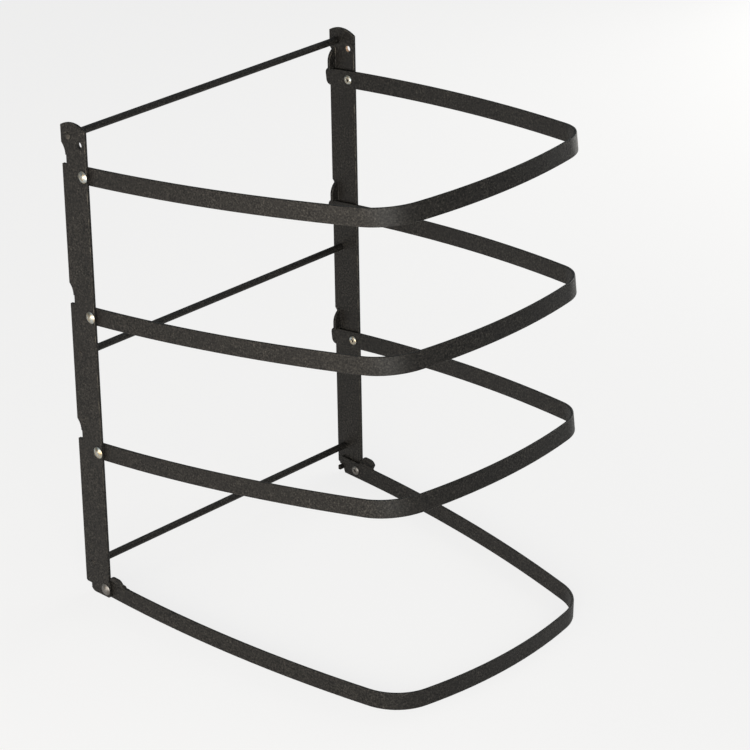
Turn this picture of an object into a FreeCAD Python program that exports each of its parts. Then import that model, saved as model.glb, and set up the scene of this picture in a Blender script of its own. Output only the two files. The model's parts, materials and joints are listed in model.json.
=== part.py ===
"""Folding four-tier bread rack in flat steel bar, as a parametric FreeCAD document.

Two posts, leaning back a little, are tied by three round cross rods.  Four U-shaped strap
loops, bent flatwise from strap that stands on edge, are riveted to the inner faces of the
posts.  The upper three loops are shelves that fold up; a lug lanced out of each post's rear
edge bears on the tail of each loop and holds it a little above level.  The lowest loop is the
base that the rack stands on; it folds down, and a lug under its tail and an ear in front of
the post keep the posts standing.

Frame: millimetres, +Z up, loops reaching towards -Y, posts at the rear.  The origin is on the
resting surface, in the middle of the rack's footprint.  Sizes of the posts and of what they
carry run along and across the leaning posts, from the base loop's rivets.
"""
import FreeCAD, Part

import math
import os

import Sketcher

Vector = FreeCAD.Vector
X_AXIS = Vector(1, 0, 0)

SHELVES = ("lower", "middle", "top")
RODS = ("lower", "middle", "top")

# Driving dimensions: cell name, millimetres or degrees, meaning.
DRIVING_SIZES = (
    ("rack_width", 254.0, "over the outer faces of the two posts"),
    ("post_width", 24.0, "post bar, front to rear"),
    ("post_thickness", 2.3, "post bar thickness"),
    ("post_lean", 2.0, "posts back from upright, in degrees"),
    ("post_above_shelf", 32.4, "top rivet up to the shoulders of the post"),
    ("dome_radius", 23.0, "arched top of the post"),
    ("foot_radius", 5.0, "rear lower corner of the post"),
    ("toe_radius", 1.5, "front lower corner of the post"),
    ("foot_rise", 0.5, "foot of the post above the base loop's lower edge"),
    ("strap_height", 12.7, "loop strap, standing on edge"),
    ("strap_thickness", 1.9, "loop strap thickness"),
    ("loop_reach", 259.0, "post's front edge to the outside of the loop's front"),
    ("side_bow_radius", 978.0, "outside of the loop's side arms"),
    ("corner_radius", 36.0, "outside of the loop's front corners"),
    ("front_bow_radius", 346.0, "outside of the loop's front bar"),
    ("shelf_tail", 22.7, "shelf strap behind its rivet"),
    ("tail_round", 4.0, "corners of the shelf strap's tail"),
    ("shelf_pitch", 101.6, "rivet to rivet between shelves"),
    ("base_pitch", 107.0, "base rivet to the lowest shelf's rivet"),
    ("shelf_tilt", 6.5, "a shelf at rest above square to the posts, in degrees"),
    ("side_gap", 0.2, "running gap between a strap and what it slides on"),
    ("stop_gap", 0.1, "gap left between a strap and the stop that it bears on"),
    ("rivet_setback", 3.6, "post's front edge to the line of rivets"),
    ("rivet_shank", 4.4, "rivet shank diameter"),
    ("rivet_fit", 0.15, "play of the strap's hole on the shank, on diameter"),
    ("rivet_head", 8.6, "rivet head diameter"),
    ("rivet_head_height", 1.6, "rivet head height"),
    ("rivet_clinch", 7.0, "rolled end diameter"),
    ("rivet_clinch_height", 1.3, "rolled end height"),
    ("rod_diameter", 5.0, "cross rod"),
    ("rod_tenon", 4.0, "reduced end of the rod, through the post"),
    ("rod_proud", 0.5, "staked end of the rod beyond the post"),
    ("rod_setback", 16.7, "post's front edge to the line of rods"),
    ("top_rod_rise", 26.0, "top rod above the top shelf's rivet"),
    ("middle_rod_drop", 31.3, "middle rod below the middle shelf's rivet"),
    ("lower_rod_rise", 16.0, "lower rod above the base rivet"),
    ("hanging_hole", 4.2, "hole for a wall screw near the top of each post"),
    ("hanging_hole_rise", 22.0, "hanging hole above the top shelf's rivet"),
    ("hanging_hole_setback", 5.6, "post's front edge to the hanging hole"),
    ("lug_notch", 3.6, "depth of the notch that a lug is folded out of"),
    ("lug_reach", 6.0, "how far a lug stands in from the post"),
    ("lug_height", 15.4, "lug height at its root"),
    ("lug_tip_height", 5.0, "straight part of a lug's tip"),
    ("lug_curve", 11.0, "radius of the lug's upper edge"),
    ("notch_straight", 7.0, "straight inner side of the notch"),
    ("notch_round", 11.0, "rounded top of the notch"),
    ("bend_round", 1.6, "outside of the bend between a post and its lugs"),
    ("step_round", 1.5, "corner of the post above the base lug's notch"),
    ("base_lug_notch", 4.6, "depth of the base lug's notch"),
    ("base_lug_reach", 4.9, "how far the base lug stands in from the post"),
    ("cam_step_drop", 0.2, "step in the base tail below its rivet"),
    ("cam_high", 16.9, "base tail over the lug, radius about the rivet"),
    ("cam_low", 13.0, "base tail in front of the lug, radius about the rivet"),
    ("ear_length", 12.9, "ear on the base strap, front to rear"),
    ("ear_height", 6.0, "ear above the strap"),
    ("ear_root", 1.6, "how far the ear's root goes down into the strap"),
    ("ear_gap", 0.3, "ear to the post's front edge"),
    ("ear_rear_round", 4.0, "ear's rear upper corner"),
    ("ear_front_round", 5.0, "ear's front upper corner"),
    ("cut_margin", 3.0, "how far cutting profiles run past the metal"),
)

# Sizes worked out from the driving dimensions.
DERIVED_SIZES = (
    ("post_outer", "=rack_width / 2"),
    ("post_inner", "=post_outer - post_thickness"),
    ("post_middle", "=post_outer - post_thickness / 2"),
    ("strap_outer", "=post_inner - side_gap"),
    ("strap_inner", "=strap_outer - strap_thickness"),
    ("half_strap", "=strap_height / 2"),
    ("post_front", "=-rivet_setback"),
    ("post_rear", "=post_width - rivet_setback"),
    ("rod_line", "=rod_setback - rivet_setback"),
    ("lean_sine", "=sin(post_lean)"),
    ("lean_cosine", "=cos(post_lean)"),
    ("post_turn", "=-post_lean"),
    ("shelf_turn", "=-post_lean - shelf_tilt"),
    # places along the posts, from the base loop's rivets
    ("base_rivet", "=0"),
    ("lower_rivet", "=base_rivet + base_pitch"),
    ("middle_rivet", "=lower_rivet + shelf_pitch"),
    ("top_rivet", "=middle_rivet + shelf_pitch"),
    ("post_shoulder", "=top_rivet + post_above_shelf"),
    ("lower_rod", "=base_rivet + lower_rod_rise"),
    ("middle_rod", "=middle_rivet - middle_rod_drop"),
    ("top_rod", "=top_rivet + top_rod_rise"),
    ("hole_height", "=top_rivet + hanging_hole_rise"),
    ("hole_line", "=hanging_hole_setback - rivet_setback"),
    ("hinge_line", "=(rivet_setback + loop_reach - top_rivet * lean_sine - tail_rear) / 2"),
    # outline of the post's foot
    ("post_foot", "=foot_rise - half_strap"),
    ("toe_rear", "=post_front + toe_radius"),
    ("toe_top", "=post_foot + toe_radius"),
    ("base_fold", "=post_rear - base_lug_notch"),
    ("base_lug_front", "=base_fold - post_thickness"),
    ("base_stop", "=(base_lug_front * lean_sine - cam_step_drop) / lean_cosine - stop_gap"),
    ("step_front", "=post_rear - step_round"),
    ("step_top", "=base_stop + step_round"),
    ("foot_front", "=base_fold - foot_radius"),
    ("foot_top", "=post_foot + foot_radius"),
    # lanced lug of the lowest shelf; the others are patterned from it
    ("lug_fold", "=post_rear - lug_notch"),
    ("lug_front", "=lug_fold - post_thickness"),
    ("tilt_sine", "=sin(shelf_tilt)"),
    ("tilt_cosine", "=cos(shelf_tilt)"),
    ("stop_rise", "=(half_strap - lug_front * tilt_sine) / tilt_cosine + stop_gap"),
    ("lug_bottom", "=lower_rivet + stop_rise"),
    ("lug_shoulder", "=lug_bottom + lug_tip_height"),
    ("lug_top", "=lug_bottom + lug_height"),
    ("notch_inner_top", "=lug_bottom + notch_straight"),
    ("notch_outside", "=post_rear + cut_margin"),
    ("notch_clear", "=notch_round - lug_notch - cut_margin"),
    ("notch_outside_top", "=notch_inner_top + sqrt(notch_round ^ 2 - notch_clear ^ 2)"),
    ("lug_tip", "=post_inner - lug_reach"),
    ("base_lug_tip", "=post_inner - base_lug_reach"),
    # rounded outside of the bends between a post and its lugs
    ("bend_side", "=post_outer - bend_round"),
    ("bend_outside", "=post_outer + cut_margin"),
    ("lug_bend", "=lug_fold - bend_round"),
    ("lug_bend_rear", "=lug_fold + cut_margin"),
    ("base_bend", "=base_fold - bend_round"),
    ("base_bend_rear", "=base_fold + cut_margin"),
    ("base_bend_height", "=base_stop - base_lug_bottom"),
    ("base_lug_bottom", "=post_foot + foot_radius / 2"),
    # plan of a loop, measured from its rivets
    ("loop_front", "=post_front - loop_reach"),
    ("side_bow_centre", "=strap_outer - side_bow_radius"),
    ("front_bow_centre", "=loop_front + front_bow_radius"),
    # rounded tail of a shelf loop
    ("tail_straight", "=shelf_tail - tail_round"),
    ("tail_upper", "=half_strap - tail_round"),
    ("tail_lower", "=-tail_upper"),
    ("tail_outside", "=shelf_tail + cut_margin"),
    ("strap_top", "=half_strap"),
    ("strap_bottom", "=-half_strap"),
    ("above_strap", "=half_strap + cut_margin"),
    ("below_strap", "=-above_strap"),
    ("tail_reach", "=tail_straight * cos(shelf_turn) - tail_upper * sin(shelf_turn)"),
    ("tail_rear", "=tail_reach + tail_round"),
    # stepped tail of the base loop
    ("cam_step", "=-cam_step_drop"),
    ("cam_high_top", "=sqrt(cam_high ^ 2 - half_strap ^ 2)"),
    ("cam_high_end", "=sqrt(cam_high ^ 2 - cam_step ^ 2)"),
    ("cam_low_end", "=sqrt(cam_low ^ 2 - cam_step ^ 2)"),
    ("cam_low_bottom", "=sqrt(cam_low ^ 2 - half_strap ^ 2)"),
    ("base_tail", "=cam_high + cut_margin / 2"),
    ("cam_outside", "=cam_high + cut_margin"),
    # ear of the base loop, a joggled tab that stands in front of the post
    ("ear_rear", "=post_front - ear_gap"),
    ("ear_front", "=ear_rear - ear_length"),
    ("ear_bottom", "=half_strap - ear_root"),
    ("ear_top", "=half_strap + ear_height"),
    ("ear_step", "=half_strap + ear_gap"),
    ("ear_outer", "=post_outer - ear_gap"),
    ("ear_inner", "=ear_outer - strap_thickness"),
    ("ear_joggle", "=ear_step + ear_outer - strap_outer"),
    ("ear_joggle_inner", "=ear_joggle + strap_thickness / 2"),
    ("ear_step_inner", "=ear_step + strap_thickness / 2"),
    ("ear_rear_turn", "=ear_rear - ear_rear_round"),
    ("ear_rear_shoulder", "=ear_top - ear_rear_round"),
    ("ear_front_turn", "=ear_front + ear_front_round"),
    ("ear_front_shoulder", "=ear_top - ear_front_round"),
    ("ear_above", "=ear_top + cut_margin"),
    ("ear_outside_rear", "=ear_rear + cut_margin"),
    ("ear_outside_front", "=ear_front - cut_margin"),
    # rivet, measured along its axis from the middle of the rack
    ("rivet_radius", "=rivet_shank / 2"),
    ("rivet_head_radius", "=rivet_head / 2"),
    ("rivet_head_top", "=post_outer + rivet_head_height"),
    ("rivet_seat", "=strap_inner - side_gap"),
    ("rivet_clinch_radius", "=rivet_clinch / 2"),
    ("rivet_end", "=rivet_seat - rivet_clinch_height"),
    ("strap_hole", "=rivet_shank + rivet_fit"),
    # rod, measured along its axis from the middle of the rack
    ("rod_radius", "=rod_diameter / 2"),
    ("rod_tenon_radius", "=rod_tenon / 2"),
    ("rod_end", "=post_outer + rod_proud"),
    ("shelf_span", "=2 * shelf_pitch"),
    ("level", "=0"),
)

document = FreeCAD.newDocument("bread_rack")
sizes = document.addObject("Spreadsheet::Sheet", "Sizes")


def fill_sheet():
    """Writes every size into the spreadsheet, one row each, with its name as the alias."""
    rows = [(name, "%g" % value, note) for name, value, note in DRIVING_SIZES]
    rows += [(name, formula, "") for name, formula in DERIVED_SIZES]
    for row, (name, content, note) in enumerate(rows, start=1):
        sizes.set("A%d" % row, name)
        sizes.set("B%d" % row, content)
        sizes.set("C%d" % row, note)
        sizes.setAlias("B%d" % row, name)
    document.recompute()


def size(name):
    """Value of one cell; a leading minus sign gives its negative."""
    if name.startswith("-"):
        return -float(sizes.get(name[1:]))
    return float(sizes.get(name))


def cell(name):
    """Expression for one cell, with an optional leading minus sign."""
    if name.startswith("-"):
        return "-Sizes." + name[1:]
    return "Sizes." + name


# ---------------------------------------------------------------- sketch helpers

def new_body(name):
    """Empty body with the node's name as its label."""
    body = document.addObject("PartDesign::Body", name)
    body.Label = name
    return body


def new_sketch(body, name, role, offset=None):
    """Sketch on one of the body's origin planes, moved along its normal by a cell."""
    plane = next(item for item in body.Origin.OriginFeatures if item.Role == role)
    sketch = body.newObject("Sketcher::SketchObject", name)
    sketch.AttachmentSupport = (plane, "")
    sketch.MapMode = "FlatFace"
    if offset:
        sketch.setExpression("AttachmentOffset.Base.z", cell(offset))
    return sketch


def bind(sketch, kind, where, value, name):
    """Adds a dimension to a sketch and ties it to a cell."""
    index = sketch.addConstraint(Sketcher.Constraint(kind, *where, size(value)))
    label = "%s_%d" % (kind.lower(), index)
    sketch.renameConstraint(index, label)
    sketch.setExpression("Constraints." + label, cell(name))


def arc_between(start, end, radius, turn):
    """Minor arc from start to end; turn is +1 to the left and -1 to the right."""
    chord = end - start
    rise = math.sqrt(max(radius ** 2 - (chord.Length / 2) ** 2, 0.0))
    side = Vector(-chord.y, chord.x, 0).normalize() * rise * turn
    centre = (start + end) / 2 + side
    first, last = (start, end) if turn > 0 else (end, start)
    angles = [math.atan2(point.y - centre.y, point.x - centre.x) for point in (first, last)]
    circle = Part.Circle(centre, Vector(0, 0, 1), radius)
    return Part.ArcOfCircle(circle, angles[0], angles[1])


def outline(sketch, corners):
    """Closed outline.  A corner is (across, up), or (across, up, radius cell, turn) where the
    edge that leaves it is an arc."""
    points = [Vector(size(corner[0]), size(corner[1]), 0) for corner in corners]
    ends = []
    for index, corner in enumerate(corners):
        start, end = points[index], points[(index + 1) % len(points)]
        if len(corner) == 2:
            sketch.addGeometry(Part.LineSegment(start, end))
            ends.append((1, 2))
        else:
            sketch.addGeometry(arc_between(start, end, size(corner[2]), corner[3]))
            ends.append((1, 2) if corner[3] > 0 else (2, 1))
    for index in range(len(corners)):
        following = (index + 1) % len(corners)
        sketch.addConstraint(Sketcher.Constraint(
            "Coincident", index, ends[index][1], following, ends[following][0]))
    for index, corner in enumerate(corners):
        place = (-1, 1, index, ends[index][0])
        bind(sketch, "DistanceX", place, corner[0], corner[0])
        bind(sketch, "DistanceY", place, corner[1], corner[1])
        if len(corner) == 4:
            bind(sketch, "Radius", (index,), corner[2], corner[2])


def circle(sketch, across, up, diameter):
    """Circle with its centre and diameter tied to cells."""
    centre = Vector(size(across), size(up), 0)
    index = sketch.addGeometry(Part.Circle(centre, Vector(0, 0, 1), size(diameter) / 2))
    bind(sketch, "DistanceX", (-1, 1, index, 3), across, across)
    bind(sketch, "DistanceY", (-1, 1, index, 3), up, up)
    bind(sketch, "Diameter", (index,), diameter, diameter)


def pad(body, name, sketch, length, reverse=False, centred=False):
    """Pad of a sketch by a cell."""
    feature = body.newObject("PartDesign::Pad", name)
    feature.Profile = sketch
    feature.setExpression("Length", cell(length))
    feature.Reversed = reverse
    feature.SideType = "Symmetric" if centred else "One side"
    return feature


def cut_through(body, name, sketch):
    """Pocket that goes right through, both ways from its sketch."""
    feature = body.newObject("PartDesign::Pocket", name)
    feature.Profile = sketch
    feature.Type = "ThroughAll"
    feature.Midplane = True
    return feature


def revolve(body, name, sketch):
    """Full turn of a half profile about the sketch's horizontal axis."""
    feature = body.newObject("PartDesign::Revolution", name)
    feature.Profile = sketch
    feature.ReferenceAxis = (sketch, ["H_Axis"])
    feature.Angle = 360
    return feature


def place(body, across, up, turn=None):
    """Sets a body at a point of the leaning posts, turned about the rivets by a cell."""
    if turn:
        body.Placement = FreeCAD.Placement(Vector(), FreeCAD.Rotation(X_AXIS, size(turn)))
        body.setExpression("Placement.Rotation.Angle", cell(turn))
    back = "Sizes.hinge_line + %s * Sizes.lean_cosine + %s * Sizes.lean_sine"
    rise = "Sizes.half_strap + %s * Sizes.lean_cosine - %s * Sizes.lean_sine"
    body.setExpression("Placement.Base.y", back % (cell(across), cell(up)))
    body.setExpression("Placement.Base.z", rise % (cell(up), cell(across)))


def mirrored(name, source):
    """The left-hand copy of a right-hand piece."""
    copy = document.addObject("Part::Mirroring", name)
    copy.Label = name
    copy.Source = source
    copy.Normal = X_AXIS
    return copy


# ---------------------------------------------------------------- posts and rods

def post_outline(body):
    """Bar with an arched top, a rounded heel and a step where the base lug is folded out."""
    sketch = new_sketch(body, "post_outline", "YZ_Plane", "post_outer")
    outline(sketch, (
        ("post_front", "toe_top"),
        ("post_front", "post_shoulder", "dome_radius", -1),
        ("post_rear", "post_shoulder"),
        ("post_rear", "step_top", "step_round", -1),
        ("step_front", "base_stop"),
        ("base_fold", "base_stop"),
        ("base_fold", "foot_top", "foot_radius", -1),
        ("foot_front", "post_foot"),
        ("toe_rear", "post_foot", "toe_radius", -1),
    ))
    return pad(body, "post_bar", sketch, "post_thickness", reverse=True)


def shelf_lug(body):
    """Punched notch in the rear edge and the lug folded in from it, over the shelf's tail."""
    notch_sketch = new_sketch(body, "notch_profile", "YZ_Plane", "post_outer")
    outline(notch_sketch, (
        ("lug_fold", "lug_bottom"),
        ("notch_outside", "lug_bottom"),
        ("notch_outside", "notch_outside_top", "notch_round", 1),
        ("lug_fold", "notch_inner_top"),
    ))
    notch = cut_through(body, "notch", notch_sketch)
    lug_sketch = new_sketch(body, "lug_profile", "XZ_Plane", "-lug_fold")
    outline(lug_sketch, (
        ("post_middle", "lug_bottom"),
        ("post_middle", "lug_top"),
        ("post_inner", "lug_top", "lug_curve", 1),
        ("lug_tip", "lug_shoulder"),
        ("lug_tip", "lug_bottom"),
    ))
    lug = pad(body, "lug", lug_sketch, "post_thickness")
    return notch, lug, bend(body, "lug", "lug_bottom", "notch_straight")


def bend(body, name, bottom, height):
    """Rounds the outside of the bend between the post and a lug, from the lug's bottom up."""
    sketch = new_sketch(body, name + "_bend_corner", "XY_Plane", bottom)
    outline(sketch, (
        ("post_outer", name + "_bend", "bend_round", 1),
        ("bend_side", name + "_fold"),
        ("bend_side", name + "_bend_rear"),
        ("bend_outside", name + "_bend_rear"),
        ("bend_outside", name + "_bend"),
    ))
    corner = body.newObject("PartDesign::Pocket", name + "_bend")
    corner.Profile = sketch
    corner.Reversed = True
    corner.setExpression("Length", cell(height))
    return corner


def base_lug(body):
    """Lug folded in from the foot, under the base loop's tail."""
    sketch = new_sketch(body, "base_lug_profile", "XZ_Plane", "-base_fold")
    outline(sketch, (
        ("post_middle", "base_lug_bottom"),
        ("post_middle", "base_stop"),
        ("base_lug_tip", "base_stop"),
        ("base_lug_tip", "base_lug_bottom"),
    ))
    pad(body, "base_lug", sketch, "post_thickness")
    bend(body, "base", "base_lug_bottom", "base_bend_height")


def hole(body, name, across, up, diameter):
    """Round hole through a post or through both arms of a loop."""
    sketch = new_sketch(body, name + "_circle", "YZ_Plane")
    circle(sketch, across, up, diameter)
    return cut_through(body, name, sketch)


def right_post():
    """Right-hand post with its lugs, rivet holes, rod holes and hanging hole."""
    body = new_body("post_right")
    outline_pad = post_outline(body)
    notch, lug, corner = shelf_lug(body)
    rivet_hole = hole(body, "shelf_rivet_hole", "level", "lower_rivet", "rivet_shank")
    pattern = body.newObject("PartDesign::LinearPattern", "shelf_pattern")
    pattern.Originals = [notch, lug, corner, rivet_hole]
    pattern.Direction = (outline_pad.Profile[0], ["V_Axis"])
    pattern.setExpression("Length", cell("shelf_span"))
    pattern.Occurrences = len(SHELVES)
    body.Tip = pattern
    base_lug(body)
    hole(body, "base_rivet_hole", "level", "base_rivet", "rivet_shank")
    hole(body, "hanging_hole", "hole_line", "hole_height", "hanging_hole")
    for rod in RODS:
        hole(body, rod + "_rod_hole", "rod_line", rod + "_rod", "rod_tenon")
    place(body, "level", "base_rivet", "post_turn")
    return body


def cross_rod(name, height):
    """Round rod with reduced ends that pass through the posts and are staked outside them."""
    body = new_body(name)
    sketch = new_sketch(body, name + "_profile", "XY_Plane")
    outline(sketch, (
        ("-rod_end", "level"),
        ("-rod_end", "rod_tenon_radius"),
        ("-post_inner", "rod_tenon_radius"),
        ("-post_inner", "rod_radius"),
        ("post_inner", "rod_radius"),
        ("post_inner", "rod_tenon_radius"),
        ("rod_end", "rod_tenon_radius"),
        ("rod_end", "level"),
    ))
    revolve(body, name + "_turned", sketch)
    place(body, "rod_line", height)
    return body


# ---------------------------------------------------------------- rivets

def rivet(name, height):
    """Rivet with a raised head outside the post and a rolled end inside the strap."""
    body = new_body(name)
    sketch = new_sketch(body, name + "_profile", "XY_Plane")
    outline(sketch, (
        ("rivet_end", "level"),
        ("rivet_end", "rivet_clinch_radius"),
        ("rivet_seat", "rivet_clinch_radius"),
        ("rivet_seat", "rivet_radius"),
        ("post_outer", "rivet_radius"),
        ("post_outer", "rivet_head_radius"),
        ("rivet_head_top", "rivet_head_radius"),
        ("rivet_head_top", "level"),
    ))
    revolve(body, name + "_turned", sketch)
    place(body, "level", height)
    return body


# ---------------------------------------------------------------- strap loops

def circles_meet(first, first_radius, second, second_radius):
    """Where two circles meet, on the side of the rack's right front corner."""
    between = second - first
    along = (first_radius ** 2 - second_radius ** 2 + between.Length ** 2) / (2 * between.Length)
    across = math.sqrt(first_radius ** 2 - along ** 2)
    unit = Vector(between).normalize()
    return first + unit * along + Vector(unit.y, -unit.x, 0) * across


def loop_plan(body, tail):
    """Right half of a loop's plan: straight tail, bowed side, round corner, bowed front."""
    sketch = new_sketch(body, "loop_plan", "XY_Plane")
    thickness = size("strap_thickness")
    side_centre = Vector(size("side_bow_centre"), size("post_front"), 0)
    front_centre = Vector(0, size("front_bow_centre"), 0)
    side_radius, corner_radius = size("side_bow_radius"), size("corner_radius")
    front_radius = size("front_bow_radius")
    corner_centre = circles_meet(
        side_centre, side_radius - corner_radius, front_centre, front_radius - corner_radius)
    side_end = math.atan2(corner_centre.y - side_centre.y, corner_centre.x - side_centre.x)
    corner_end = math.atan2(corner_centre.y - front_centre.y, corner_centre.x - front_centre.x)
    half_turn = math.pi / 2

    def arcs(inset):
        """Side, corner and front arcs, the strap's outside moved in by inset."""
        spans = (
            (side_centre, side_radius, side_end, 0.0),
            (corner_centre, corner_radius, corner_end, side_end),
            (front_centre, front_radius, -half_turn, corner_end),
        )
        for centre, radius, low, high in spans:
            ring = Part.Circle(centre, Vector(0, 0, 1), radius - inset)
            yield Part.ArcOfCircle(ring, low, high)

    outer_x, inner_x = size("strap_outer"), size("strap_inner")
    front_y, tail_y, bend_y = size("loop_front"), size(tail), size("post_front")
    outer_line = Part.LineSegment(Vector(outer_x, tail_y, 0), Vector(outer_x, bend_y, 0))
    inner_line = Part.LineSegment(Vector(inner_x, tail_y, 0), Vector(inner_x, bend_y, 0))
    front_end = Part.LineSegment(Vector(0, front_y, 0), Vector(0, front_y + thickness, 0))
    tail_end = Part.LineSegment(Vector(inner_x, tail_y, 0), Vector(outer_x, tail_y, 0))
    sketch.addGeometry([outer_line, *arcs(0.0), front_end])
    sketch.addGeometry([inner_line, *arcs(thickness), tail_end])
    outer, side, corner, front, middle = range(5)
    inner, side_in, corner_in, front_in, rear = range(5, 10)

    def join(kind, *where):
        sketch.addConstraint(Sketcher.Constraint(kind, *where))

    for line, first, second, third in (
        (outer, side, corner, front),
        (inner, side_in, corner_in, front_in),
    ):
        join("Tangent", line, 2, first, 2)
        join("Tangent", first, 1, second, 2)
        join("Tangent", second, 1, third, 2)
        join("Vertical", line)
    for out_arc, in_arc in ((side, side_in), (corner, corner_in), (front, front_in)):
        join("Coincident", out_arc, 3, in_arc, 3)
    join("Coincident", middle, 1, front, 1)
    join("Coincident", middle, 2, front_in, 1)
    join("Coincident", rear, 1, inner, 1)
    join("Coincident", rear, 2, outer, 1)
    join("Horizontal", rear)
    join("PointOnObject", middle, 1, -2)
    join("PointOnObject", middle, 2, -2)
    join("PointOnObject", front, 3, -2)
    bind(sketch, "DistanceX", (-1, 1, outer, 1), "strap_outer", "strap_outer")
    bind(sketch, "DistanceX", (-1, 1, inner, 1), "strap_inner", "strap_inner")
    bind(sketch, "DistanceY", (-1, 1, outer, 1), tail, tail)
    bind(sketch, "DistanceY", (-1, 1, outer, 2), "post_front", "post_front")
    bind(sketch, "DistanceY", (-1, 1, front, 1), "loop_front", "loop_front")
    bind(sketch, "Radius", (side,), "side_bow_radius", "side_bow_radius")
    bind(sketch, "Radius", (corner,), "corner_radius", "corner_radius")
    bind(sketch, "Radius", (front,), "front_bow_radius", "front_bow_radius")
    return pad(body, "half_strap", sketch, "strap_height", centred=True)


def mirror_halves(body, features):
    """Joins the left half of a loop to the right half."""
    plane = next(item for item in body.Origin.OriginFeatures if item.Role == "YZ_Plane")
    mirror = body.newObject("PartDesign::Mirrored", "both_halves")
    mirror.Originals = features
    mirror.MirrorPlane = (plane, [""])
    mirror.Refine = True
    body.Tip = mirror


def shelf_loop(shelf):
    """Shelf loop, tilted up about its rivets, with rounded tails."""
    body = new_body("shelf_loop_" + shelf)
    mirror_halves(body, [loop_plan(body, "shelf_tail")])
    sketch = new_sketch(body, "tail_trim", "YZ_Plane")
    outline(sketch, (
        ("tail_straight", "strap_top", "tail_round", -1),
        ("shelf_tail", "tail_upper"),
        ("shelf_tail", "tail_lower", "tail_round", -1),
        ("tail_straight", "strap_bottom"),
        ("tail_straight", "below_strap"),
        ("tail_outside", "below_strap"),
        ("tail_outside", "above_strap"),
        ("tail_straight", "above_strap"),
    ))
    cut_through(body, "tail_corners", sketch)
    hole(body, "rivet_hole", "level", "level", "strap_hole")
    place(body, "level", shelf + "_rivet", "shelf_turn")
    return body


def base_ear(body):
    """Tab on the strap's upper edge, joggled outwards to stand before the post's edge."""
    section = new_sketch(body, "ear_section", "XZ_Plane", "-ear_rear")
    outline(section, (
        ("strap_inner", "ear_bottom"),
        ("strap_outer", "ear_bottom"),
        ("strap_outer", "ear_step"),
        ("ear_outer", "ear_joggle"),
        ("ear_outer", "ear_top"),
        ("ear_inner", "ear_top"),
        ("ear_inner", "ear_joggle_inner"),
        ("strap_inner", "ear_step_inner"),
    ))
    tab = pad(body, "ear", section, "ear_length")
    trim_sketch = new_sketch(body, "ear_trim", "YZ_Plane")
    outline(trim_sketch, (
        ("ear_rear", "ear_rear_shoulder", "ear_rear_round", 1),
        ("ear_rear_turn", "ear_top"),
        ("ear_front_turn", "ear_top", "ear_front_round", 1),
        ("ear_front", "ear_front_shoulder"),
        ("ear_outside_front", "ear_front_shoulder"),
        ("ear_outside_front", "ear_above"),
        ("ear_outside_rear", "ear_above"),
        ("ear_outside_rear", "ear_rear_shoulder"),
    ))
    return tab, cut_through(body, "ear_corners", trim_sketch)


def base_loop():
    """Base loop with stepped tails that clear the rod and bear on the base lugs."""
    body = new_body("base_loop")
    half = loop_plan(body, "base_tail")
    tab, trim = base_ear(body)
    mirror_halves(body, [half, tab, trim])
    sketch = new_sketch(body, "cam_trim", "YZ_Plane")
    outline(sketch, (
        ("cam_high_top", "strap_top", "cam_high", -1),
        ("cam_high_end", "cam_step"),
        ("cam_low_end", "cam_step", "cam_low", -1),
        ("cam_low_bottom", "strap_bottom"),
        ("cam_low_bottom", "below_strap"),
        ("cam_outside", "below_strap"),
        ("cam_outside", "above_strap"),
        ("cam_high_top", "above_strap"),
    ))
    cut_through(body, "cam_tail", sketch)
    hole(body, "rivet_hole", "level", "level", "strap_hole")
    place(body, "level", "base_rivet")
    return body


# ---------------------------------------------------------------- assembly

def build():
    """Makes every piece and returns them in order."""
    fill_sheet()
    post = right_post()
    pieces = [post, mirrored("post_left", post)]
    pieces += [cross_rod("cross_rod_" + rod, rod + "_rod") for rod in RODS]
    pieces += [shelf_loop(shelf) for shelf in SHELVES]
    pieces.append(base_loop())
    for level in ("base",) + SHELVES:
        right = rivet("rivet_%s_right" % level, level + "_rivet")
        pieces += [right, mirrored("rivet_%s_left" % level, right)]
    document.recompute()
    return pieces


def check(pieces):
    """Stops if any object failed to build or any piece isn't one valid solid."""
    for item in document.Objects:
        faults = [state for state in item.State if state in ("Invalid", "Error")]
        if faults:
            raise RuntimeError("%s: %s" % (item.Name, item.State))
    for piece in pieces:
        shape = piece.Shape
        if shape.isNull() or not shape.isValid():
            raise RuntimeError("%s has no valid shape" % piece.Label)
        if len(shape.Solids) != 1:
            raise RuntimeError("%s has %d solids" % (piece.Label, len(shape.Solids)))


def export(pieces):
    """Writes each piece to a STEP file of its own."""
    os.makedirs("parts", exist_ok=True)
    for piece in pieces:
        piece.Shape.exportStep(os.path.join("parts", piece.Label + ".step"))
        box = piece.Shape.BoundBox
        print("%-20s %9.1f mm3  x %7.2f..%7.2f  y %7.2f..%7.2f  z %7.2f..%7.2f" % (
            piece.Label, piece.Shape.Volume,
            box.XMin, box.XMax, box.YMin, box.YMax, box.ZMin, box.ZMax))


all_pieces = build()
check(all_pieces)
export(all_pieces)
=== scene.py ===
"""Looks of the folding bread rack: coated steel bars, staked rods and zinc rivets on the frame.

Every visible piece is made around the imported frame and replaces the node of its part.  The
flat bars are softened copies of their nodes, because rolled bar has no sharp edge and powder
coat rounds it further.  The rods and rivets are turned shapes, spun about their axes from short
profiles that take their places and main radii from the nodes.
"""

import itertools
import json
import logging
import math
from dataclasses import dataclass
from enum import Enum
from typing import Optional, Sequence, Union

import bmesh
import bpy
from mathutils import Euler, Matrix, Vector


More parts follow.
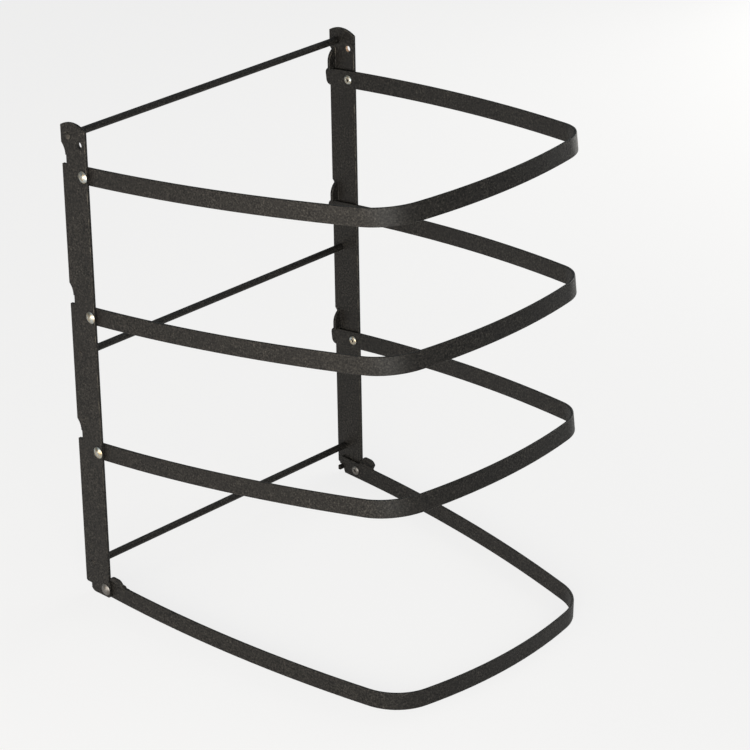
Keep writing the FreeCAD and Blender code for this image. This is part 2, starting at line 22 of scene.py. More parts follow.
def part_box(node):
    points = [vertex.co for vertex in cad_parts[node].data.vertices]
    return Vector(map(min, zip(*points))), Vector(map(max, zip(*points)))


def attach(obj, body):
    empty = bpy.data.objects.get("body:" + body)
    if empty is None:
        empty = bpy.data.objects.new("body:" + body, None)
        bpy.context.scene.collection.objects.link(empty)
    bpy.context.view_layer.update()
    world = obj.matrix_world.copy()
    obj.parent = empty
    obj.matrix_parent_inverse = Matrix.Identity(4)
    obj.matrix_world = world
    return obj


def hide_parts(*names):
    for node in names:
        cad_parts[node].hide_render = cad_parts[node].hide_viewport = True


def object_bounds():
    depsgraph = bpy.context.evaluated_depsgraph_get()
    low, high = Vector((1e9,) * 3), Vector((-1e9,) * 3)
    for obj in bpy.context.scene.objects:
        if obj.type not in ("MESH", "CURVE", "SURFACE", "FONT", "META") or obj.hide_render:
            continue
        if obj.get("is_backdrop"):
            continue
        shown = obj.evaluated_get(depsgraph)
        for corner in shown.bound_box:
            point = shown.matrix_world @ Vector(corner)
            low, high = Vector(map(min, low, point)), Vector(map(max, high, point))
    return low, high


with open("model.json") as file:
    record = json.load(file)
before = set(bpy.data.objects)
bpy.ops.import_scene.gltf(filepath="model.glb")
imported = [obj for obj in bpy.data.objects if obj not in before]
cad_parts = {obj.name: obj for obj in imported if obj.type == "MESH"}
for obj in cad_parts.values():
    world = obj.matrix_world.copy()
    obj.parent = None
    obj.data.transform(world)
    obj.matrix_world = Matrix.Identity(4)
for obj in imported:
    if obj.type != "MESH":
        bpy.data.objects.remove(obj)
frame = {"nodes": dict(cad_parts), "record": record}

LOG = logging.getLogger("bread_rack")
MM = 0.001
WELD = 0.001 * MM           # points closer than this are one point
RING_DIGITS = 5             # rings of a turned node are told apart to 0.01 mm
BLACK = (0.0, 0.0, 0.0, 1.0)
WHITE = (1.0, 1.0, 1.0, 1.0)
WHITE_GLOW = 1.0            # at this strength a white glow shows white
NOISE_LOW = 0.3             # a noise field seldom leaves the range from here
NOISE_HIGH = 0.7            # to here
EDGE_LAYER = "rubbed_edge"  # up to 1 along the rounded edges that hands rub, 0 elsewhere
HOLE_WALL_TINT_LAYER = "tint_hole_wall"    # 1 on the wall of the right hanging hole, which is tinted tan, 0 elsewhere
HOLLOW_LAYER = "hollow"     # 1 inside a rivet's hollow, where tarnish and painted shade are laid, 0 elsewhere

Colour = tuple[float, float, float, float]
Place = tuple[float, float, float]
Socket = bpy.types.NodeSocket
Setting = Union[float, tuple, Socket]


# ---------------------------------------------------------------- shared helpers

def linear(hex_colour: str) -> Colour:
    """Turns an sRGB hex colour into linear red, green, blue and alpha, by the sRGB curve.

    Args:
        hex_colour: six hex digits, with or without a leading hash.

    Returns:
        Four floats, alpha being 1.
    """
    digits = hex_colour.lstrip("#")
    channels = [int(digits[i:i + 2], 16) / 255 for i in (0, 2, 4)]
    return (*[c / 12.92 if c <= 0.04045 else ((c + 0.055) / 1.055) ** 2.4 for c in channels], 1.0)


def add_node(
    tree: bpy.types.NodeTree,
    kind: str,
    inputs: Optional[dict[Union[str, int], Setting]] = None,
    **settings: object,
) -> bpy.types.Node:
    """Adds a shader node, sets its properties and fills or links its inputs.

    Args:
        tree: the tree to add to.
        kind: the node's type name.
        inputs: for each input, a value or the socket that feeds it.
        **settings: properties of the node itself.

    Returns:
        The new node.
    """
    node = tree.nodes.new(kind)
    for name, value in settings.items():
        setattr(node, name, value)
    for key, value in (inputs or {}).items():
        if isinstance(value, Socket):
            tree.links.new(value, node.inputs[key])
        else:
            node.inputs[key].default_value = value
    return node


def set_stops(node: bpy.types.Node, levels: Sequence[float], colours: Sequence[Colour]) -> None:
    """Gives a colour ramp its stops.

    Args:
        node: a colour ramp node.
        levels: position of each stop, rising.
        colours: colour of each stop.
    """
    elements = node.color_ramp.elements
    for _ in range(len(elements), len(levels)):
        elements.new(1.0)
    for element, level, colour in zip(elements, levels, colours):
        element.position = level
        element.color = colour


def new_material(name: str) -> tuple[bpy.types.Material, bpy.types.NodeTree]:
    """Makes an empty node material.

    Args:
        name: the finish's name.

    Returns:
        The material and its node tree.
    """
    material = bpy.data.materials.new(name)
    material.use_nodes = True
    material.node_tree.nodes.clear()
    return material, material.node_tree


def finish_surface(tree: bpy.types.NodeTree, shader: bpy.types.Node) -> None:
    """Links a shader to a new material output."""
    add_node(tree, "ShaderNodeOutputMaterial", {"Surface": shader.outputs[0]})


# ---------------------------------------------------------------- finishes

@dataclass(frozen=True)
class Noise:
    """Sizes of one noise field."""

    size_mm: float          # about the size of its largest blobs
    octaves: float          # how many finer fields are laid over them
    weight: float = 0.5     # strength of each finer field against the one before

    def inputs(self, place: Socket) -> dict[str, Setting]:
        """What a noise node with these sizes is fed."""
        return {"Vector": place, "Scale": 1 / (self.size_mm * MM), "Detail": self.octaves,
                "Roughness": self.weight}


@dataclass(frozen=True)
class PowderCoat:
    """Fine-texture polyester powder coat, sprayed and baked on steel.

    Matt and nearly black, with a grit that breaks up the light; it is thinnest on outside
    edges, where handling rubs it to a warm grey.
    """

    name: str = "fine_texture_powder_coat"
    hollow_shade_colour: str = "#080808"      # painted shade, between the grains
    grain_colour: str = "#32302d"
    grain_highlight_colour: str = "#5a5752"       # painted highlight, on the highest grains, which catch the light
    cloud_colour: str = "#1d1c1b"       # where the spray went on thicker
    rubbed_colour: str = "#706a60"
    hole_wall_tint_colour: str = "#c2a184"        # tan laid on the wall of the right hanging hole
    grain: Noise = Noise(1.3, 5.0, 0.8)     # coarser than the real half millimetre, to show
    cloud: Noise = Noise(22.0, 3.0)
    rub: Noise = Noise(7.0, 4.0)
    grain_levels: tuple[float, ...] = (0.42, 0.59, 0.70)    # painted hollow shade, grain and painted highlight
    cloud_levels: tuple[float, ...] = (0.42, 0.66)          # no cloud, full cloud
    rub_levels: tuple[float, ...] = (0.46, 0.66)            # whole coat, rubbed through
    cloud_share: float = 0.5    # a full cloud hides this much of the grain
    grit_height_mm: float = 0.12
    grit_strength: float = 0.8
    roughness_low: float = 0.36     # on the grains
    roughness_high: float = 0.56    # between them
    specular: float = 0.2           # matt polyester reflects less than the usual plastic
    ior: float = 1.5

    def colour(self, tree: bpy.types.NodeTree, place: Socket, grain: Socket) -> Socket:
        """Lays clouds, rubbed edges and the tan of one hole's wall over the speckled ground.

        Args:
            tree: the material's tree.
            place: coordinates on the object.
            grain: the grain's noise field.

        Returns:
            The socket that gives the colour.
        """
        cloud = add_node(tree, "ShaderNodeTexNoise", self.cloud.inputs(place))
        rub = add_node(tree, "ShaderNodeTexNoise", self.rub.inputs(place))
        # the speckle follows the grit's height: painted shade in its hollows, painted highlight
        # on its tops
        speckle = add_node(tree, "ShaderNodeValToRGB", {"Fac": grain})
        set_stops(speckle, self.grain_levels, [
            linear(self.hollow_shade_colour), linear(self.grain_colour), linear(self.grain_highlight_colour)])
        patch = add_node(tree, "ShaderNodeValToRGB", {"Fac": cloud.outputs["Fac"]})
        set_stops(patch, self.cloud_levels, [BLACK, (*[self.cloud_share] * 3, 1.0)])
        spots = add_node(tree, "ShaderNodeValToRGB", {"Fac": rub.outputs["Fac"]})
        set_stops(spots, self.rub_levels, [BLACK, WHITE])
        edge = add_node(tree, "ShaderNodeAttribute", attribute_name=EDGE_LAYER)
        rubbed = add_node(
            tree, "ShaderNodeMath",
            {0: edge.outputs["Fac"], 1: spots.outputs["Color"]}, operation="MULTIPLY")
        wall_tint = add_node(tree, "ShaderNodeAttribute", attribute_name=HOLE_WALL_TINT_LAYER)
        colour = speckle.outputs["Color"]
        for share, over in (
                (patch.outputs["Color"], self.cloud_colour),
                (rubbed.outputs[0], self.rubbed_colour),
                (wall_tint.outputs["Fac"], self.hole_wall_tint_colour)):
            laid = add_node(
                tree, "ShaderNodeMix", {"Factor": share, "A": colour, "B": linear(over)},
                data_type="RGBA")
            colour = laid.outputs["Result"]
        return colour

    def make(self) -> bpy.types.Material:
        """Builds the material.

        Returns:
            The finished material.
        """
        material, tree = new_material(self.name)
        place = add_node(tree, "ShaderNodeTexCoord").outputs["Object"]
        grain = add_node(tree, "ShaderNodeTexNoise", self.grain.inputs(place)).outputs["Fac"]
        gloss = add_node(
            tree, "ShaderNodeMapRange",
            {"Value": grain, "From Min": NOISE_LOW, "From Max": NOISE_HIGH,
             "To Min": self.roughness_high, "To Max": self.roughness_low})
        relief = add_node(
            tree, "ShaderNodeBump",
            {"Height": grain, "Strength": self.grit_strength,
             "Distance": self.grit_height_mm * MM})
        shader = add_node(
            tree, "ShaderNodeBsdfPrincipled",
            {"Base Color": self.colour(tree, place, grain), "Roughness": gloss.outputs["Result"],
             "IOR": self.ior, "Specular IOR Level": self.specular,
             "Normal": relief.outputs["Normal"]})
        finish_surface(tree, shader)
        return material


@dataclass(frozen=True)
class ZincPlate:
    """Bright zinc plate on a cold-headed steel rivet.

    A silvery metal with a faint cool cast, softened by the barrel it was tumbled in, and a
    warmer stain where handling has dulled it.
    """

    name: str = "bright_zinc_plate"
    clean_colour: str = "#bcc3c3"
    stained_colour: str = "#b9a98c"
    tarnish_and_shade_colour: str = "#1b1917"     # inside the rolled end: tarnish and painted shade of its depth
    tumble: Noise = Noise(0.5, 2.0)
    stain: Noise = Noise(3.0, 3.0)
    stain_levels: tuple[float, ...] = (0.40, 0.66)      # clean, fully stained
    dent_height_mm: float = 0.02
    dent_strength: float = 0.4
    metallic: float = 1.0
    roughness_low: float = 0.24
    roughness_high: float = 0.42

    def make(self) -> bpy.types.Material:
        """Builds the material.

        Returns:
            The finished material.
        """
        material, tree = new_material(self.name)
        place = add_node(tree, "ShaderNodeTexCoord").outputs["Object"]
        tumble = add_node(tree, "ShaderNodeTexNoise", self.tumble.inputs(place)).outputs["Fac"]
        stain = add_node(tree, "ShaderNodeTexNoise", self.stain.inputs(place)).outputs["Fac"]
        tone = add_node(tree, "ShaderNodeValToRGB", {"Fac": stain})
        set_stops(tone, self.stain_levels,
                  [linear(self.clean_colour), linear(self.stained_colour)])
        # inside the hollow the colour goes dark: tarnish and painted shade
        hollow = add_node(tree, "ShaderNodeAttribute", attribute_name=HOLLOW_LAYER)
        colour = add_node(
            tree, "ShaderNodeMix",
            {"Factor": hollow.outputs["Fac"], "A": tone.outputs["Color"],
             "B": linear(self.tarnish_and_shade_colour)},
            data_type="RGBA")
        gloss = add_node(
            tree, "ShaderNodeMapRange",
            {"Value": tumble, "From Min": NOISE_LOW, "From Max": NOISE_HIGH,
             "To Min": self.roughness_low, "To Max": self.roughness_high})
        relief = add_node(
            tree, "ShaderNodeBump",
            {"Height": tumble, "Strength": self.dent_strength,
             "Distance": self.dent_height_mm * MM})
        shader = add_node(
            tree, "ShaderNodeBsdfPrincipled",
            {"Base Color": colour.outputs["Result"], "Metallic": self.metallic,
             "Roughness": gloss.outputs["Result"], "Normal": relief.outputs["Normal"]})
        finish_surface(tree, shader)
        return material


@dataclass(frozen=True)
class DulledZincPlate(ZincPlate):
    """The same plate low on the rack, gone grey and rough from wiping and damp."""

    name: str = "dulled_zinc_plate"
    clean_colour: str = "#8d8b88"
    stained_colour: str = "#6f6a64"
    roughness_low: float = 0.45
    roughness_high: float = 0.6


class Slot(Enum):
    """Material slots of the record."""

    COAT = "black_powder_coat"
    RIVET = "bright_rivet"


@dataclass
class Paint:
    """The finishes, made once and handed to the pieces that wear them."""

    coat: bpy.types.Material
    zinc: bpy.types.Material
    dull_zinc: bpy.types.Material


# ---------------------------------------------------------------- pieces

def nodes_named(starts: tuple[str, ...]) -> list[str]:
    """Names of the frame nodes that begin with one of the given words, in order."""
    return [node for node in sorted(frame["nodes"]) if node.startswith(starts)]


def body_of_node(node: str) -> str:
    """Name of the body that a frame node rides on."""
    bodies = frame["record"]["behaviour"]["bodies"]
    return next(body for body, members in bodies.items() if node in members)


def place_piece(
    name: str, shape: bmesh.types.BMesh, material: bpy.types.Material, node: str,
) -> bpy.types.Object:
    """Turns a finished bmesh into a piece that stands for a frame node.

    Args:
        name: the piece's name.
        shape: its mesh, in place, which is freed here.
        material: its finish.
        node: the frame node that it replaces and whose body it rides on.

    Returns:
        The new piece.
    """
    mesh = bpy.data.meshes.new(name)
    shape.to_mesh(mesh)
    shape.free()
    mesh.materials.append(material)
    mesh.shade_smooth()
    piece = bpy.data.objects.new(name, mesh)
    bpy.context.scene.collection.objects.link(piece)
    shading = piece.modifiers.new("flat_faces_stay_flat", "WEIGHTED_NORMAL")
    shading.keep_sharp = True
    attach(piece, body_of_node(node))
    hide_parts(node)
    return piece


@dataclass
class FlatBars:
    """Posts and strap loops: flat bar with rolled, coated edges."""

    paint: Paint
    edge_radius_mm: float = 0.4
    edge_segments: int = 3
    edge_deg: float = 30.0      # edges that turn more than this are rounded
    cusp_deg: float = 25.0      # narrower points between two edges stay sharp
    grip_mm: float = 30.0       # hands rub the edges of this much of the posts' tops
    grip_rub: float = 1.0       # right through the coat
    light_rub: float = 0.15     # and the other edges only a little
    tinted_hole: str = "hanging_hole_right"
    wall_slack_mm: float = 0.05     # a point this close to a bore's wall is on it

    def build(self, node: str) -> bpy.types.Object:
        """Makes the softened copy of a frame node.

        Args:
            node: name of the frame node.

        Returns:
            The new piece.
        """
        shape = bmesh.new()
        shape.from_mesh(frame["nodes"][node].data)
        bmesh.ops.remove_doubles(shape, verts=shape.verts, dist=WELD)
        rounded = self.round_edges(shape)
        self.press_flush(shape, node)
        self.rub_edges(shape, rounded, node)
        self.tint_hole_wall(shape)
        return place_piece(node + "_coated", shape, self.paint.coat, node)

    def round_edges(self, shape: bmesh.types.BMesh) -> set[bmesh.types.BMFace]:
        """Rounds the edges that turn sharply, except those that run into a cusp.

        Args:
            shape: a bar, merged and in place.

        Returns:
            The faces of the rounded edges.
        """
        corner = math.radians(self.edge_deg)
        sharp = {e for e in shape.edges if e.is_manifold and e.calc_face_angle() > corner}
        cusps = {end for edge in sharp for end in edge.verts if self.is_cusp(end, sharp)}
        edges = [e for e in shape.edges if e in sharp and cusps.isdisjoint(e.verts)]
        rounded = bmesh.ops.bevel(
            shape, geom=edges, affect="EDGES", offset=self.edge_radius_mm * MM,
            offset_type="OFFSET", segments=self.edge_segments, profile=0.5, material=-1,
            clamp_overlap=False, loop_slide=False)
        return set(rounded["faces"])

    def is_cusp(self, corner: bmesh.types.BMVert, sharp: set[bmesh.types.BMEdge]) -> bool:
        """Whether two sharp edges leave a corner almost the same way.

        Args:
            corner: the corner that is asked about.
            sharp: all the sharp edges.

        Returns:
            True where rounding both edges would need more metal than there is between them.
        """
        ways = [edge.other_vert(corner).co - corner.co
                for edge in corner.link_edges if edge in sharp]
        return any(first.angle(second) < math.radians(self.cusp_deg)
                   for first, second in itertools.combinations(ways, 2))

    def press_flush(self, shape: bmesh.types.BMesh, node: str) -> None:
        """Presses a bar flush with its node where a folded edge fades out into a face.

        Args:
            shape: a rounded bar, in place.
            node: name of its frame node.
        """
        low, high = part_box(node)
        for vertex in shape.verts:
            vertex.co.x = min(max(vertex.co.x, low.x), high.x)

    def rub_edges(
        self, shape: bmesh.types.BMesh, rounded: set[bmesh.types.BMFace], node: str,
    ) -> None:
        """Marks the middle of the rounded edges in the edge layer.

        Args:
            shape: a rounded bar, in place.
            rounded: the faces of its rounded edges.
            node: name of its frame node.
        """
        layer = shape.verts.layers.float.new(EDGE_LAYER)
        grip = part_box("post_right")[1].z - self.grip_mm * MM
        for vertex in {vertex for face in rounded for vertex in face.verts}:
            if rounded.issuperset(vertex.link_faces):
                held = node.startswith("post") and vertex.co.z > grip
                vertex[layer] = self.grip_rub if held else self.light_rub

    def tint_hole_wall(self, shape: bmesh.types.BMesh) -> None:
        """Marks the wall of the right hanging hole, which is laid in a tan colour.

        Args:
            shape: a rounded bar, in place.
        """
        layer = shape.verts.layers.float.new(HOLE_WALL_TINT_LAYER)
        hole = next(mount for mount in frame["record"]["mounts"]
                    if mount["name"] == self.tinted_hole)
        middle = Vector(hole["pos_m"])
        wall = (hole["dims"]["r_mm"] + self.wall_slack_mm) * MM
        for vertex in shape.verts:
            reach = vertex.co - middle
            if reach.yz.length < wall and abs(reach.x) < wall:
                vertex[layer] = 1.0


class Profile:
    """Half profile of a turned piece: places along its axis and radii, in metres."""

    def __init__(self, place: float, radius: float) -> None:
        """Starts the profile.

        Args:
            place: where it starts along the axis.
            radius: how far from the axis it starts.
        """
        self.points = [Vector((place, radius, 0))]

    def line(self, place: float, radius: float) -> None:
        """Runs straight to a point.

        Args:
            place: where the line ends along the axis.
            radius: how far from the axis it ends.
        """
        self.points.append(Vector((place, radius, 0)))

    def arc(self, place: float, radius: float, bend: float, steps: int) -> None:
        """Runs to a point along a circular arc.

        Args:
            place: where the arc ends along the axis.
            radius: how far from the axis it ends.
            bend: radius of the arc, positive where it turns left on its way.
            steps: straight pieces that make up the arc.
        """
        start, end = self.points[-1], Vector((place, radius, 0))
        chord = end - start
        left = Vector((-chord.y, chord.x, 0)).normalized()
        centre_offset = math.sqrt(bend ** 2 - chord.length ** 2 / 4)
        centre = (start + end) / 2 + left * math.copysign(centre_offset, bend)
        turn = 2 * math.asin(chord.length / 2 / bend)
        for step in range(1, steps + 1):
            swung = Matrix.Rotation(turn * step / steps, 3, "Z") @ (start - centre)
            self.points.append(centre + swung)


def dome_radius(rim: float, rise: float) -> float:
    """Radius of the sphere that a dome is cut from.

    Args:
        rim: radius of the dome's rim.
        rise: height of the dome over its rim.

    Returns:
        The radius, in the unit of the two.
    """
    return (rim ** 2 + rise ** 2) / (2 * rise)


def settle_faces(shape: bmesh.types.BMesh) -> None:
    """Sorts the faces by their corners, because a weld leaves them in a chance order.

    Args:
        shape: a welded shape.
    """
    shape.verts.index_update()
    count = len(shape.verts)
    shape.faces.sort(key=lambda face: sum(
        index * count ** power
        for power, index in enumerate(sorted(vertex.index for vertex in face.verts))))


@dataclass
class TurnedPieces:
    """Pieces of revolution about an axis that runs across the rack."""

    paint: Paint
    steps: int = 48     # flat sides round the axis

    def rings(self, node: str) -> list[tuple[float, float]]:
        """Place along the axis and radius of every ring of a frame node.

        Args:
            node: name of the frame node.

        Returns:
            Places from the middle of the rack and radii, without repeats.
        """
        low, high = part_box(node)
        middle = (low + high) / 2
        return sorted({
            (round(v.co.x, RING_DIGITS),
             round(math.hypot(v.co.y - middle.y, v.co.z - middle.z), RING_DIGITS))
            for v in frame["nodes"][node].data.vertices})

    def turned(self, node: str, profile: Profile) -> bmesh.types.BMesh:
        """Spins a profile about the axis of a frame node.

        Args:
            node: name of the frame node.
            profile: half profile, from the axis round to the axis.

        Returns:
            The closed shape, in place.
        """
        low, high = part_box(node)
        shape = bmesh.new()
        points = [shape.verts.new(point) for point in profile.points]
        for first, second in zip(points, points[1:]):
            shape.edges.new((first, second))
        bmesh.ops.spin(
            shape, geom=shape.verts[:] + shape.edges[:], cent=(0, 0, 0), axis=(1, 0, 0),
            angle=math.tau, steps=self.steps, use_merge=True)
        bmesh.ops.remove_doubles(shape, verts=shape.verts, dist=WELD)
        bmesh.ops.recalc_face_normals(shape, faces=shape.faces)
        settle_faces(shape)
        bmesh.ops.translate(
            shape, verts=shape.verts, vec=(0, (low.y + high.y) / 2, (low.z + high.z) / 2))
        return shape


@dataclass
class CrossRods(TurnedPieces):
    """Round rods with a shoulder inside each post and a staked end outside it."""

    shoulder_round_mm: float = 0.4
    head_radius_mm: float = 2.5     # the staking spreads the tenon's end over the post
    dimple_radius_mm: float = 0.9   # mark of the staking tool
    dimple_depth_mm: float = 0.2
    crown_mm: float = 0.1           # fall of the staked end from dimple to edge
    edge_mm: float = 0.15           # what stands above the post at its edge
    end_rub: float = 0.3            # wear of the staked ends

    def build(self, node: str) -> bpy.types.Object:
        """Makes a rod.

        Args:
            node: name of the frame node.

        Returns:
            The new piece.
        """
        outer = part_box("post_right")[1].x
        shape = self.turned(node, self.profile(node))
        layer = shape.verts.layers.float.new(EDGE_LAYER)
        for vertex in shape.verts:
            if abs(vertex.co.x) > outer + WELD:
                vertex[layer] = self.end_rub
        return place_piece(node + "_coated", shape, self.paint.coat, node)

    def profile(self, node: str) -> Profile:
        """Half profile of a rod, to the places and radii of its frame node.

        Args:
            node: name of the frame node.

        Returns:
            The profile from the right end to the left.
        """
        rings = self.rings(node)
        end = max(place for place, _ in rings)
        body_radius = max(radius for _, radius in rings)
        tenon_radius = min(radius for _, radius in rings)
        shoulder = max(place for place, radius in rings if radius == body_radius)
        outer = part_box("post_right")[1].x
        soft = self.shoulder_round_mm * MM
        half = [
            (end - self.dimple_depth_mm * MM, 0),
            (end, self.dimple_radius_mm * MM),
            (end - self.crown_mm * MM, (self.dimple_radius_mm + self.head_radius_mm) / 2 * MM),
            (outer + self.edge_mm * MM, self.head_radius_mm * MM),
            (outer, self.head_radius_mm * MM),
            (outer, tenon_radius),
            (shoulder, tenon_radius),
            (shoulder, body_radius - soft),
            (shoulder - soft, body_radius),
        ]
        rod = Profile(*half[0])
        for place, radius in half[1:]:
            rod.line(place, radius)
        for place, radius in reversed(half):
            rod.line(-place, radius)
        return rod


@dataclass
class Rivets(TurnedPieces):
    """Semi-tubular rivets: a domed head outside the post, a rolled end inside the strap."""

    head_rise_mm: float = 1.9
    head_lip_mm: float = 0.25
    dome_steps: int = 16
    hollow_radius_mm: float = 1.15
    hollow_depth_mm: float = 2.2
    roll_radius_mm: float = 1.7
    roll_steps: int = 10
    slot_narrow: float = 0.3    # rolling squeezes the hollow into a slot this much as wide
    slot_turn_deg: float = -45.0

    def build(self, node: str) -> bpy.types.Object:
        """Makes a rivet; the ones of the base loop are duller than the rest.

        Args:
            node: name of the frame node.

        Returns:
            The new piece.
        """
        shape = self.turned(node, self.profile(node))
        self.squeeze_hollow(shape, node)
        zinc = self.paint.dull_zinc if "base" in node else self.paint.zinc
        return place_piece(node + "_plated", shape, zinc, node)

    def profile(self, node: str) -> Profile:
        """Half profile of a rivet, to the places and radii of its frame node.

        Args:
            node: name of the frame node.

        Returns:
            The profile from the floor of the hollow to the top of the head.
        """
        rings = self.rings(node)
        side = 1 if rings[0][0] > 0 else -1
        places = [(abs(place), radius) for place, radius in rings]
        tip = min(places)[0]
        head_radius = max(radius for _, radius in places)
        shank_radius = min(radius for _, radius in places)
        seat = min(place for place, radius in places if radius == head_radius)
        clinch_radius = max(radius for place, radius in places if place < seat)
        clinch_seat = max(place for place, radius in places if radius == clinch_radius)
        hollow = self.hollow_radius_mm * MM
        floor = tip + self.hollow_depth_mm * MM
        roll = self.roll_radius_mm * MM
        rise = self.head_rise_mm * MM
        lip = self.head_lip_mm * MM
        dome = dome_radius(head_radius, rise - lip)
        shape = Profile(side * floor, 0)
        shape.line(side * floor, hollow)
        shape.line(side * (tip + lip), hollow)
        shape.arc(side * clinch_seat, clinch_radius, -side * roll, self.roll_steps)
        shape.line(side * clinch_seat, shank_radius)
        shape.line(side * seat, shank_radius)
        shape.line(side * seat, head_radius - lip)
        shape.line(side * (seat + lip), head_radius)
        shape.arc(side * (seat + rise), 0, -side * dome, self.dome_steps)
        return shape

    def squeeze_hollow(self, shape: bmesh.types.BMesh, node: str) -> None:
        """Narrows the hollow to a slanting slot and marks it for the tarnish and painted shade in
        it.

        Args:
            shape: the turned rivet, in place.
            node: name of its frame node.
        """
        low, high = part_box(node)
        middle = (low + high) / 2
        slant = math.radians(self.slot_turn_deg)
        across = Vector((0, math.cos(slant), math.sin(slant)))
        layer = shape.verts.layers.float.new(HOLLOW_LAYER)
        for vertex in shape.verts:
            out = vertex.co - middle
            inside = abs(vertex.co.x) < abs(middle.x)
            out.x = 0
            if inside and out.length <= self.hollow_radius_mm * MM + WELD:
                vertex.co -= across * out.dot(across) * (1 - self.slot_narrow)
                vertex[layer] = 1.0


# ---------------------------------------------------------------- studio

@dataclass(frozen=True)
class PaleFloor:
    """Matt off-white sheet, which shows near white and keeps the rack's shadow."""

    name: str = "pale_floor"
    colour: str = "#ededeb"
    seen_glow: float = 0.8          # share of plain white in what is seen of it
    mirrored_glow: float = 0.4      # and in what mirrored rays find of it

    def make(self) -> bpy.types.Material:
        """Builds the material.

        Returns:
            The finished material.
        """
        material, tree = new_material(self.name)
        matt = add_node(tree, "ShaderNodeBsdfDiffuse", {"Color": linear(self.colour)})
        glow = add_node(tree, "ShaderNodeEmission", {"Color": WHITE, "Strength": WHITE_GLOW})
        path = add_node(tree, "ShaderNodeLightPath")
        mirrored = add_node(
            tree, "ShaderNodeMath",
            {0: path.outputs["Is Glossy Ray"], 1: self.mirrored_glow}, operation="MULTIPLY")
        seen = add_node(
            tree, "ShaderNodeMath",
            {0: path.outputs["Is Camera Ray"], 1: path.outputs["Is Transmission Ray"]},
            operation="MAXIMUM")
        share = add_node(
            tree, "ShaderNodeMath",
            {0: seen.outputs[0], 1: self.seen_glow, 2: mirrored.outputs[0]},
            operation="MULTIPLY_ADD")
        surface = add_node(
            tree, "ShaderNodeMixShader",
            {"Fac": share.outputs[0], 1: matt.outputs[0], 2: glow.outputs[0]})
        finish_surface(tree, surface)
        return material


@dataclass(frozen=True)
class Surroundings:
    """Plain white where it is seen, a grey room for mirrored rays, and an even soft light."""

    name: str = "studio"
    ambient: float = 0.17               # strength of the light that it gives
    wall_colour: str = "#4d575c"        # what mirrored rays find level with the rack
    ceiling_colour: str = "#c3c8ca"     # and what they find overhead
    room_levels: tuple[float, ...] = (0.10, 0.80)       # rise of the rays that find each

    def make(self) -> bpy.types.World:
        """Builds the world.

        Returns:
            The finished world.
        """
        world = bpy.data.worlds.new(self.name)
        world.use_nodes = True
        tree = world.node_tree
        tree.nodes.clear()
        place = add_node(tree, "ShaderNodeTexCoord")
        height = add_node(
            tree, "ShaderNodeSeparateXYZ", {"Vector": place.outputs["Generated"]})
        room = add_node(tree, "ShaderNodeValToRGB", {"Fac": height.outputs["Z"]})
        set_stops(room, self.room_levels,
                  [linear(self.wall_colour), linear(self.ceiling_colour)])
        path = add_node(tree, "ShaderNodeLightPath")
        colour = add_node(
            tree, "ShaderNodeMix",
            {"Factor": path.outputs["Is Glossy Ray"], "A": WHITE, "B": room.outputs["Color"]},
            data_type="RGBA")
        seen = path.outputs["Is Camera Ray"]
        for ray in ("Is Glossy Ray", "Is Transmission Ray"):
            either = add_node(
                tree, "ShaderNodeMath", {0: seen, 1: path.outputs[ray]}, operation="MAXIMUM")
            seen = either.outputs[0]
        level = add_node(
            tree, "ShaderNodeMapRange",
            {"Value": seen, "To Min": self.ambient, "To Max": WHITE_GLOW})
        sky = add_node(
            tree, "ShaderNodeBackground",
            {"Color": colour.outputs["Result"], "Strength": level.outputs["Result"]})
        add_node(tree, "ShaderNodeOutputWorld", {"Surface": sky.outputs[0]})
        return world


@dataclass(frozen=True)
class Lamp:
    """Soft square lamp that looks at the middle of the rack."""

    name: str
    place: Place
    size: float     # side of the square, in metres
    power: float    # watts
    colour: str

    def hang(self) -> None:
        """Puts the lamp in the scene, out of the camera's sight."""
        data = bpy.data.lights.new(self.name, "AREA")
        data.size = self.size
        data.energy = self.power
        data.color = linear(self.colour)[:3]
        lamp = bpy.data.objects.new(self.name, data)
        bpy.context.scene.collection.objects.link(lamp)
        low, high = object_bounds()
        aim = (low + high) / 2 - Vector(self.place)
        lamp.location = self.place
        lamp.visible_camera = False
        lamp.rotation_mode = "QUATERNION"
        lamp.rotation_quaternion = aim.to_track_quat("-Z", "Y")


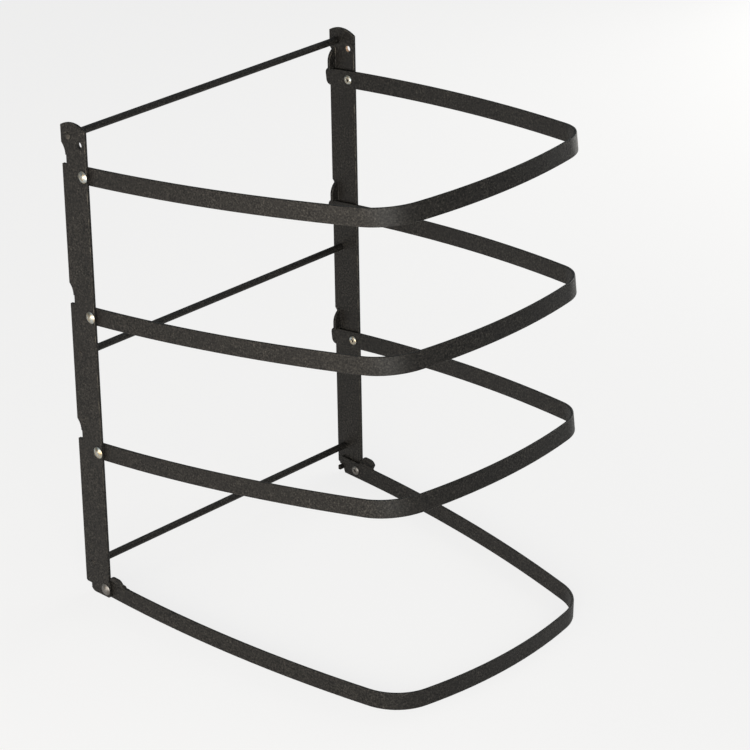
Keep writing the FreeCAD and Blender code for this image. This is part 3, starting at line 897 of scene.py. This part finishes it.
@dataclass
class Studio:
    """Camera, floor, surroundings and lamps."""

    focal_px: float = 3319.5
    frame_px: int = 750
    sensor_mm: float = 36.0
    clip_near: float = 0.05
    clip_far: float = 200.0
    azimuth_deg: float = -46.139
    elevation_deg: float = 26.681
    roll_deg: float = 0.661
    camera_place: Place = (-1.44501, -1.41084, 1.18540)
    floor_size: float = 60.0
    lamps: tuple[Lamp, ...] = (
        Lamp("key", (-1.0, -0.85, 0.3), 0.9, 18.0, "#fffdf8"),
        Lamp("bounce", (-1.1, 0.0, 0.12), 0.8, 9.0, "#fff2e4"),
        Lamp("side", (1.2, 0.1, 0.4), 0.9, 8.0, "#fffdf8"),
    )

    def camera(self) -> None:
        """Sets up the camera at the viewing angle, with its small roll."""
        data = bpy.data.cameras.new("camera")
        data.sensor_width = self.sensor_mm
        data.lens = self.focal_px / self.frame_px * self.sensor_mm
        data.clip_start, data.clip_end = self.clip_near, self.clip_far
        camera = bpy.data.objects.new("camera", data)
        bpy.context.scene.collection.objects.link(camera)
        azimuth, elevation = math.radians(self.azimuth_deg), math.radians(self.elevation_deg)
        back = Vector((
            math.sin(azimuth) * math.cos(elevation),
            -math.cos(azimuth) * math.cos(elevation),
            math.sin(elevation)))
        turn = (-back).to_track_quat("-Z", "Y")
        roll = Euler((0, 0, math.radians(self.roll_deg))).to_quaternion()
        camera.rotation_mode = "QUATERNION"
        camera.rotation_quaternion = turn @ roll
        camera.location = self.camera_place
        bpy.context.scene.camera = camera

    def floor(self) -> None:
        """Lays the floor under the rack."""
        shape = bmesh.new()
        bmesh.ops.create_grid(shape, x_segments=1, y_segments=1, size=self.floor_size / 2)
        mesh = bpy.data.meshes.new("floor")
        shape.to_mesh(mesh)
        shape.free()
        floor = bpy.data.objects.new("floor", mesh)
        bpy.context.scene.collection.objects.link(floor)
        mesh.materials.append(PaleFloor().make())
        floor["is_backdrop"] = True

    def build(self) -> None:
        """Makes the whole studio."""
        bpy.context.scene.view_settings.view_transform = "Standard"
        self.camera()
        self.floor()
        bpy.context.scene.world = Surroundings().make()
        for lamp in self.lamps:
            lamp.hang()


# ---------------------------------------------------------------- whole


def main() -> None:
    """Builds the rack's pieces in order, reports each one and lights them."""
    logging.basicConfig(level=logging.INFO, format="%(name)s %(message)s")
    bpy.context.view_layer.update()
    paint = Paint(PowderCoat().make(), ZincPlate().make(), DulledZincPlate().make())
    for maker, starts in (
            (FlatBars(paint), ("post", "shelf_loop", "base_loop")),
            (CrossRods(paint), ("cross_rod",)),
            (Rivets(paint), ("rivet",))):
        for node in nodes_named(starts):
            piece = maker.build(node)
            LOG.info("%s: %d faces, for %s", piece.name, len(piece.data.polygons), node)
    Studio().build()


if __name__ == "__main__":
    main()
